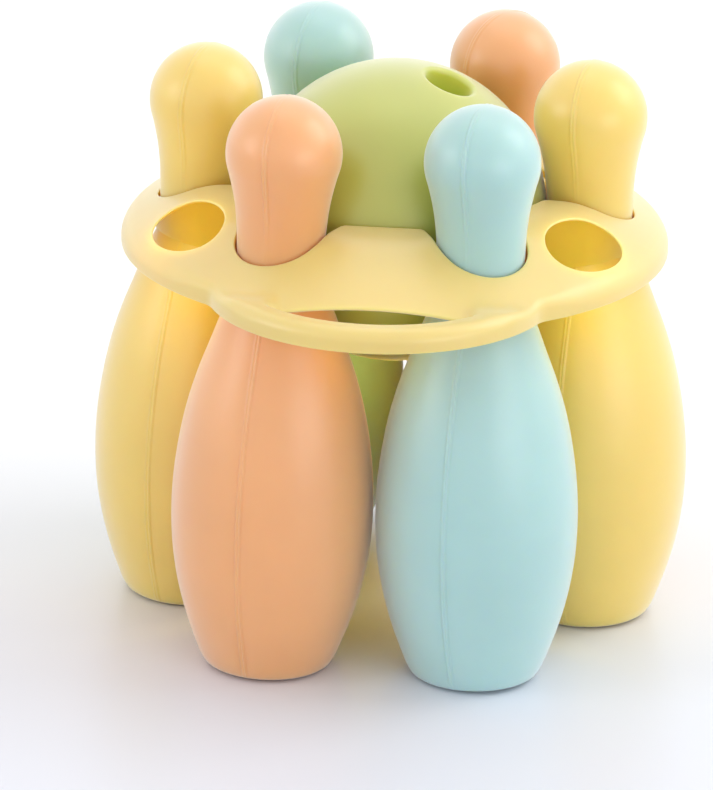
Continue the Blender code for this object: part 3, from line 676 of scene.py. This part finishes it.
def evenly(points, spacing):
    """The closed outline walked again at an even spacing."""
    path = np.array(list(points) + [points[0]])
    steps = np.linalg.norm(np.diff(path, axis=0), axis=1)
    path = path[np.concatenate([[True], steps > SAME_PLACE])]
    run = np.concatenate([[0], np.cumsum(np.linalg.norm(np.diff(path, axis=0), axis=1))])
    at = np.linspace(0, run[-1], int(round(run[-1] / spacing)), endpoint=False)
    return np.stack([np.interp(at, run, path[:, 0]), np.interp(at, run, path[:, 1])], axis=1)


def rim_outline():
    """The round rim, with the bow of a handle blended into it at the front and the back."""
    to_rim = RIM_R + BOW_FILLET
    to_bow = BOW_R + BOW_FILLET
    drop = (to_rim ** 2 - to_bow ** 2 + BOW_C ** 2) / (2 * BOW_C)
    reach = math.sqrt(to_rim ** 2 - drop ** 2)
    rim_way = math.atan2(drop, -reach)
    bow_way = math.atan2(drop - BOW_C, -reach)
    start = math.atan2(BOW_C - drop, reach)
    side = math.atan2(-drop, reach)
    blend = arc(reach, -drop, BOW_FILLET, rim_way, bow_way, BLEND_SPACING)
    half = arc(0, 0, RIM_R, -side, side, DRAFT_SPACING)
    half += blend
    half += arc(0, -BOW_C, BOW_R, start, -math.pi - start, DRAFT_SPACING)
    half += [(-x, y) for x, y in blend[::-1]]
    return turned(half[1:], 0) + turned(half[1:], math.pi)


def notch_half_width(x):
    """Half the notch's width where its sides close in towards the mouth."""
    return NOTCH_R / math.cos(NOTCH_TAPER) - (NOTCH_C - x) * math.tan(NOTCH_TAPER)


def inner_outline():
    """The ball's opening: a land in each gap and a notch round each neck."""
    half_gap = PIN_TURN / 2
    tan_gap = math.tan(half_gap)
    at_axis = LAND_A / math.cos(half_gap)
    corner_x = (at_axis - tan_gap * notch_half_width(0)) / (1 + tan_gap * math.tan(NOTCH_TAPER))
    corner = (corner_x, -notch_half_width(corner_x))
    tangent = (NOTCH_C - NOTCH_R * math.sin(NOTCH_TAPER), -NOTCH_R * math.cos(NOTCH_TAPER))
    land = (corner_x - LAND_LEAD * math.sin(half_gap), corner[1] - LAND_LEAD * math.cos(half_gap))
    lead = rounded([land, corner, tangent], [0, LAND_CORNER, 0], CORNER_SPACING)[1:-1]
    back = [(x, -y) for x, y in lead[::-1]]
    side = math.pi / 2 + NOTCH_TAPER
    half = lead + line(lead[-1], tangent, DRAFT_SPACING)
    half += arc(NOTCH_C, 0, NOTCH_R, -side, side, NOTCH_SPACING)
    half += line((tangent[0], -tangent[1]), back[0], DRAFT_SPACING) + back
    return [point for step in PIN_STEPS.values() for point in turned(half, PIN_TURN * step)]


def slot_outline(turn):
    """The D-shaped slot, its bow side parallel to the handle's outer edge."""
    inner = BOW_R - BAR_W
    half = math.asin(SLOT_HALF / inner)
    front = arc(0, -BOW_C, inner, -math.pi / 2 - half, -math.pi / 2 + half, DRAFT_SPACING)
    corners = rounded(
        [front[-1], (SLOT_HALF, -SLOT_EDGE), (-SLOT_HALF, -SLOT_EDGE), front[0]],
        [0, SLOT_CORNER, SLOT_CORNER, 0], CORNER_SPACING,
    )
    return turned(front[:-1] + corners[:-1], turn)


def hole_outline(azimuth):
    """A side hole: an oval on the slope, as it shows in plan."""
    width = HOLE_WIDTH * math.cos(SLOPE)
    angles = np.linspace(0, 2 * math.pi, HOLE_POINTS, endpoint=False)
    return turned([(HOLE_C + width * math.cos(a), HOLE_LENGTH * math.sin(a)) for a in angles], azimuth)


def carrier_loops():
    """The outlines, in the order of LOOP_KINDS."""
    loops = [evenly(rim_outline(), RIM_SPACING), evenly(inner_outline(), CUT_SPACING)]
    loops += [evenly(slot_outline(turn), CUT_SPACING) for turn in (0, math.pi)]
    loops += [evenly(hole_outline(math.radians(a)), HOLE_SPACING) for a in HOLE_BEARINGS]
    return loops


# Carrier surfaces

def segment_distance(points, starts, ends):
    """Least distance from each point to any of the segments, some segments at a time."""
    best = np.full(len(points), np.inf)
    for i in range(0, len(starts), CHUNK):
        away = points[:, None, :] - starts[None, i:i + CHUNK]
        run = (ends - starts)[None, i:i + CHUNK]
        t = np.clip((away * run).sum(-1) / np.maximum((run * run).sum(-1), NO_LENGTH), 0, 1)
        best = np.minimum(best, np.sqrt(((away - t[..., None] * run) ** 2).sum(-1)).min(1))
    return best


def inside(points, loops):
    """Even-odd test of points against closed loops."""
    count = np.zeros(len(points), int)
    x, y = points[:, 0], points[:, 1]
    for loop in loops:
        for (x0, y0), (x1, y1) in zip(loop, np.roll(loop, -1, axis=0)):
            if y0 == y1:
                continue
            count += ((y0 > y) != (y1 > y)) & (x < (x1 - x0) * (y - y0) / (y1 - y0) + x0)
    return count % 2 == 1


def dome(rho):
    """Height of the plate at a distance from the middle: flat, then a bend, then a cone."""
    end = FLAT_R + BEND_R * math.sin(SLOPE)
    rho = np.asarray(rho, float)
    bend = LAND_Z - BEND_R + np.sqrt(np.maximum(BEND_R ** 2 - np.clip(rho - FLAT_R, 0, None) ** 2, 1))
    cone = LAND_Z - BEND_R * (1 - math.cos(SLOPE)) - math.tan(SLOPE) * (rho - end)
    return np.where(rho <= FLAT_R, LAND_Z, np.where(rho <= end, bend, cone))


def fall(distance, radius):
    """How far a rounded edge has dropped at a distance in from the edge."""
    inner = np.clip(radius - distance, 0, radius)
    return radius - np.sqrt(np.maximum(radius ** 2 - inner ** 2, 0))


def soft_max(a, b, blend):
    return 0.5 * (a + b + np.sqrt((a - b) ** 2 + blend * blend))


def local_pin(points):
    """Distance out along the nearest pin's own bearing, and the offset across it."""
    angle = np.arctan2(points[:, 1], points[:, 0])
    step = np.round(angle / PIN_TURN) * PIN_TURN
    rho = np.hypot(points[:, 0], points[:, 1])
    return rho * np.cos(angle - step), rho * np.sin(angle - step)


def edge_names(kind, middles):
    """What the short edges of an outline border, by the outline's kind and the edges' middles."""
    if kind == "opening":
        names = []
        for along, across in zip(*local_pin(middles)):
            in_notch = abs(across) < notch_half_width(along) + NOTCH_MARGIN and along > NOTCH_START
            names.append("notch" if in_notch else "land")
        return names
    if kind == "slot":
        return ["flap" if abs(y) < SLOT_EDGE + FLAP_MARGIN else "bar" for _, y in middles]
    return [kind] * len(middles)


def edge_segments(loops):
    """Starts and ends of the outlines' short edges, for each kind of border."""
    pairs = {name: [] for name in EDGE_KINDS}
    for kind, loop in zip(LOOP_KINDS, loops):
        ahead = np.roll(loop, -1, axis=0)
        for name, start, end in zip(edge_names(kind, (loop + ahead) / 2), loop, ahead):
            pairs[name].append((start, end))
    segments = {}
    for name, found in pairs.items():
        segments[name] = (np.array([start for start, _ in found]), np.array([end for _, end in found]))
    return segments


def plate_top(points, gaps):
    """Height of the upper side as if it had no edges, and with its edges rounded."""
    x = np.abs(points[:, 0])
    y = np.abs(points[:, 1])
    cone = dome(np.hypot(points[:, 0], points[:, 1]))
    flap = 1 - smoothstep(*FLAP_SIDES, x)
    flap = flap * (1 - smoothstep(SLOT_EDGE + FLAP_STEP[0], SLOT_EDGE + FLAP_STEP[1], y))
    base = cone + smoothstep(*BOW_RISE, y) * (1 - flap) * (soft_max(cone, BOW_Z, BOW_BLEND) - cone)
    waist = smoothstep(*WAIST_REACH, np.hypot(x - WAIST[0], y - WAIST[1]))
    top = base - fall(gaps["rim"], WAIST_ROUND + (RIM_ROUND - WAIST_ROUND) * waist)
    for name, radius in EDGE_ROUNDS.items():
        top = top - fall(gaps[name], radius)
    return base, top


def carrier_surfaces(points, segments):
    """Upper and lower height of the carrier over plan points: a plate, with hems down at its edges."""
    gaps = {name: segment_distance(points, starts, ends) for name, (starts, ends) in segments.items()}
    base, top = plate_top(points, gaps)
    thin = 1 - smoothstep(*THIN_BAND, np.minimum(gaps["flap"], gaps["hole"]))
    under = base - (SHELL + (EDGE_SHELL - SHELL) * thin) / math.cos(SLOPE)
    along, _ = local_pin(points)
    notch_hem = RIM_Z + math.tan(HEM_SLOPE) * (along - HEM_C)
    hems = (("rim", RIM_Z, HEM_WALL), ("bar", RIM_Z + BAR_HEM, HEM_WALL), ("notch", notch_hem, NOTCH_WALL))
    low = under
    for name, bottom, wall in hems:
        share = 1 - smoothstep(wall - HEM_SOFT, wall + HEM_SOFT, gaps[name])
        low = np.minimum(low, under + (bottom - under) * share)
    low = low + fall(np.minimum.reduce(list(gaps.values())), UNDER_ROUND)
    return top, np.minimum(low, top - LEAST_WALL)


# Carrier mesh

def spread(points):
    """The points without those that crowd one kept before them."""
    cells = {}
    kept = []
    around = [(i, j) for i in (-1, 0, 1) for j in (-1, 0, 1)]
    for x, y in points:
        column, row = int(x / CELL), int(y / CELL)
        near = [p for i, j in around for p in cells.get((column + i, row + j), ())]
        if all((x - p[0]) ** 2 + (y - p[1]) ** 2 >= CROWD ** 2 for p in near):
            cells.setdefault((column, row), []).append((x, y))
            kept.append((x, y))
    return kept


def edge_points(loops, starts, ends):
    """Rings of points beside the outlines, where their rounding needs them."""
    found = []
    for loop in loops:
        ahead = np.roll(loop, -1, axis=0) - np.roll(loop, 1, axis=0)
        normal = np.stack([-ahead[:, 1], ahead[:, 0]], axis=1)
        normal /= np.linalg.norm(normal, axis=1)[:, None]
        for offset in EDGE_RINGS:
            slack = RING_SLACK[0] + RING_SLACK[1] * offset
            for sign in (-1, 1):
                ring = loop + normal * offset * sign
                good = np.abs(segment_distance(ring, starts, ends) - offset) < slack
                found.append(ring[good & inside(ring, loops)])
    return spread(np.concatenate(found))


def lattice_points(loops, starts, ends):
    """A triangular lattice over the plate, clear of the outlines."""
    across = np.arange(-LATTICE_REACH, LATTICE_REACH, LATTICE)
    along = np.arange(-LATTICE_REACH, LATTICE_REACH, LATTICE_ROW)
    gx, gy = np.meshgrid(across, along)
    gx = gx + (np.arange(len(along)) % 2)[:, None] * LATTICE / 2
    points = np.stack([gx.ravel(), gy.ravel()], axis=1)
    points = points[inside(points, loops)]
    return list(points[segment_distance(points, starts, ends) > EDGE_RINGS[-1] + LATTICE_CLEAR])


def plan_mesh(loops, segments):
    """Triangles over the plate in plan, and the vertex of each outline point."""
    starts = np.concatenate([starts for starts, _ in segments.values()])
    ends = np.concatenate([ends for _, ends in segments.values()])
    plan = []
    edges = []
    for loop in loops:
        base = len(plan)
        plan += list(loop)
        edges += [(base + i, base + (i + 1) % len(loop)) for i in range(len(loop))]
    plan += edge_points(loops, starts, ends) + lattice_points(loops, starts, ends)
    found, _, faces, origin, _, _ = delaunay_2d_cdt([Vector(p) for p in plan], edges, [], 0, SAME_PLACE)
    flat = np.array([v[:] for v in found])
    faces = np.array(faces)
    faces = faces[inside(flat[faces].mean(1), loops)]
    where = {i: index for index, ids in enumerate(origin) for i in ids}
    return flat, faces, where


def wall_rows(ids, flat, top, low, verts):
    """Rows of vertices down a cut edge; the rows between the two sides are added to the vertices."""
    rows = [ids]
    for share in WALL_SHARES:
        rows.append([len(verts) + k for k in range(len(ids))])
        verts += [(flat[i][0], flat[i][1], top[i] + (low[i] - top[i]) * share) for i in ids]
    rows.append([i + len(flat) for i in ids])
    return rows


def painted_glow_faces(mesh, rim, opening):
    """Which faces, clear of the outer rim, look down or stand along the ball's opening: the faces that take
    the painted glow.
    """
    centres = np.array([f.center[:] for f in mesh.polygons]) / MM
    normals = np.array([f.normal[:] for f in mesh.polygons])
    clear = segment_distance(centres[:, :2], rim, np.roll(rim, -1, axis=0)) > RIM_CLEAR
    near = np.array([np.hypot(*(opening - c).T).min() < CUT_REACH for c in centres[:, :2]])
    return clear & (normals[:, 2] < np.where(near, LOOKS_SIDEWAYS, LOOKS_DOWN))


def build_carrier():
    """Both sides of the plate over one plan, and walls between them along the outlines."""
    loops = carrier_loops()
    segments = edge_segments(loops)
    flat, faces, where = plan_mesh(loops, segments)
    top, low = carrier_surfaces(flat, segments)
    count = len(flat)
    verts = list(np.column_stack([flat, top])) + list(np.column_stack([flat, low]))
    polys = [tuple(f) for f in faces] + [(f[2] + count, f[1] + count, f[0] + count) for f in faces]
    first = 0
    for loop in loops:
        rows = wall_rows([where[first + i] for i in range(len(loop))], flat, top, low, verts)
        first += len(loop)
        for upper, lower in zip(rows, rows[1:]):
            for j in range(len(loop)):
                k = (j + 1) % len(loop)
                polys.append((upper[j], upper[k], lower[k], lower[j]))
    skin = make_piece("carrier_skin", verts, polys, "cream_plastic", "carrier", "carrier")
    # Faces underneath and along the notches take the painted glow, a deeper yellow standing for bounced and
    # passed-through light
    skin.data.materials.append(CREAM_PAINTED_GLOW)
    for face, glowing in zip(skin.data.polygons, painted_glow_faces(skin.data, loops[0], loops[1])):
        face.material_index = 1 if glowing else 0


# Stage, lights and camera

def floor_paper():
    """Pale paper with painted shade: darker and cooler towards the camera, white further back."""
    mat = bpy.data.materials.new("floor_paper")
    mat.use_nodes = True
    nodes = mat.node_tree.nodes
    links = mat.node_tree.links
    shader = nodes["Principled BSDF"]
    shader.inputs["Roughness"].default_value = FLOOR_ROUGHNESS
    shader.inputs["Specular IOR Level"].default_value = FLOOR_GLOSS
    place = nodes.new("ShaderNodeTexCoord")
    split = nodes.new("ShaderNodeSeparateXYZ")
    links.new(place.outputs["Object"], split.inputs["Vector"])
    fade = nodes.new("ShaderNodeMapRange")
    fade.inputs["From Min"].default_value = FLOOR_FADE[0]
    fade.inputs["From Max"].default_value = FLOOR_FADE[1]
    links.new(split.outputs["Y"], fade.inputs["Value"])
    painted_shade = nodes.new("ShaderNodeValToRGB")
    painted_shade.color_ramp.elements[0].color = FLOOR_PAINTED_SHADE
    painted_shade.color_ramp.elements[1].color = WHITE
    links.new(fade.outputs["Result"], painted_shade.inputs["Fac"])
    links.new(painted_shade.outputs["Color"], shader.inputs["Base Color"])
    return mat


def build_stage():
    mesh = bpy.data.meshes.new("floor")
    corners = [(x * FLOOR_REACH, y * FLOOR_REACH, 0) for x, y in ((-1, -1), (1, -1), (1, 1), (-1, 1))]
    mesh.from_pydata(corners, [], [(0, 1, 2, 3)])
    floor = bpy.data.objects.new("floor", mesh)
    bpy.context.scene.collection.objects.link(floor)
    floor.data.materials.append(floor_paper())


def lamp(name, kind, place, power):
    light = bpy.data.lights.new(name, kind)
    light.energy = power
    thing = bpy.data.objects.new(name, light)
    bpy.context.scene.collection.objects.link(thing)
    thing.location = place
    return thing


def softbox(name, place, size, power):
    thing = lamp(name, "AREA", place, power)
    thing.data.shape = "RECTANGLE"
    thing.data.size, thing.data.size_y = size
    way = Vector(LAMP_AIM) - Vector(place)
    thing.rotation_euler = way.to_track_quat("-Z", "Y").to_euler()


def glow(name, place, power, colour):
    """A small unseen lamp that stands for light passed on by the thin plastic around it."""
    thing = lamp(name, "POINT", place, power)
    thing.data.shadow_soft_size = GLOW_R
    thing.data.color = colour
    thing.visible_camera = False
    thing.visible_glossy = False


def build_glows():
    glow("glow_middle", (0, 0, GLOW_MIDDLE_Z), *GLOW_MIDDLE)
    for bearing in HOLE_BEARINGS:
        turn = math.radians(bearing)
        place = (GLOW_HOLE_R * math.cos(turn), GLOW_HOLE_R * math.sin(turn), GLOW_HOLE_Z)
        glow(f"glow_hole_{bearing:.0f}", place, *GLOW_HOLE)
    thumb = finger_ways()[0] * (BALL_R * MM - GLOW_THUMB_DEPTH) + (0, 0, BALL_Z * MM)
    glow("glow_thumb", tuple(thumb), *GLOW_THUMB)
    for name, y in (("front", -GLOW_SLOT_Y), ("back", GLOW_SLOT_Y)):
        glow("glow_slot_" + name, (0, y, GLOW_SLOT_Z), *GLOW_SLOT)


def build_world():
    """White all round, brighter where the camera or a reflection looks straight at it."""
    world = bpy.data.worlds.new("studio")
    world.use_nodes = True
    bpy.context.scene.world = world
    nodes = world.node_tree.nodes
    links = world.node_tree.links
    back = nodes["Background"]
    back.inputs["Color"].default_value = WHITE
    path = nodes.new("ShaderNodeLightPath")
    seen = nodes.new("ShaderNodeMath")
    seen.operation = "MAXIMUM"
    links.new(path.outputs["Is Camera Ray"], seen.inputs[0])
    links.new(path.outputs["Is Glossy Ray"], seen.inputs[1])
    level = nodes.new("ShaderNodeMapRange")
    level.inputs["To Min"].default_value = SKY_LIGHT
    level.inputs["To Max"].default_value = SKY_SEEN
    links.new(seen.outputs["Value"], level.inputs["Value"])
    links.new(level.outputs["Result"], back.inputs["Strength"])


def build_light():
    build_world()
    for name, (place, size, power) in SOFTBOXES.items():
        softbox(name, place, size, power)
    build_glows()


def build_camera():
    flat = math.cos(CAMERA_ELEVATION)
    back = Vector((
        math.sin(CAMERA_AZIMUTH) * flat, -math.cos(CAMERA_AZIMUTH) * flat, math.sin(CAMERA_ELEVATION),
    ))
    right = (-back).cross(Vector((0, 0, 1))).normalized()
    up = right.cross(-back)
    tilted_right = right * math.cos(CAMERA_ROLL) + up * math.sin(CAMERA_ROLL)
    tilted_up = -right * math.sin(CAMERA_ROLL) + up * math.cos(CAMERA_ROLL)
    lens = bpy.data.cameras.new("camera")
    lens.sensor_fit = "HORIZONTAL"
    lens.sensor_width = SENSOR_W
    lens.lens = FOCAL_PX / PICTURE_W * SENSOR_W
    lens.shift_x = (PICTURE_W / 2 - CENTRE_PX[0]) / PICTURE_W
    lens.shift_y = (CENTRE_PX[1] - PICTURE_H / 2) / PICTURE_W
    lens.clip_end = CLIP_END
    thing = bpy.data.objects.new("camera", lens)
    bpy.context.scene.collection.objects.link(thing)
    aim = Vector((0, 0, AIM_Z + LIFT * MM))
    turn = Matrix((tilted_right, tilted_up, back)).transposed().to_4x4()
    thing.matrix_world = Matrix.Translation(aim + back * CAMERA_DISTANCE) @ turn
    bpy.context.scene.camera = thing


build_camera()
build_light()
build_stage()
build_pins()
build_ball()
build_carrier()
bpy.context.scene.view_settings.view_transform = "Standard"
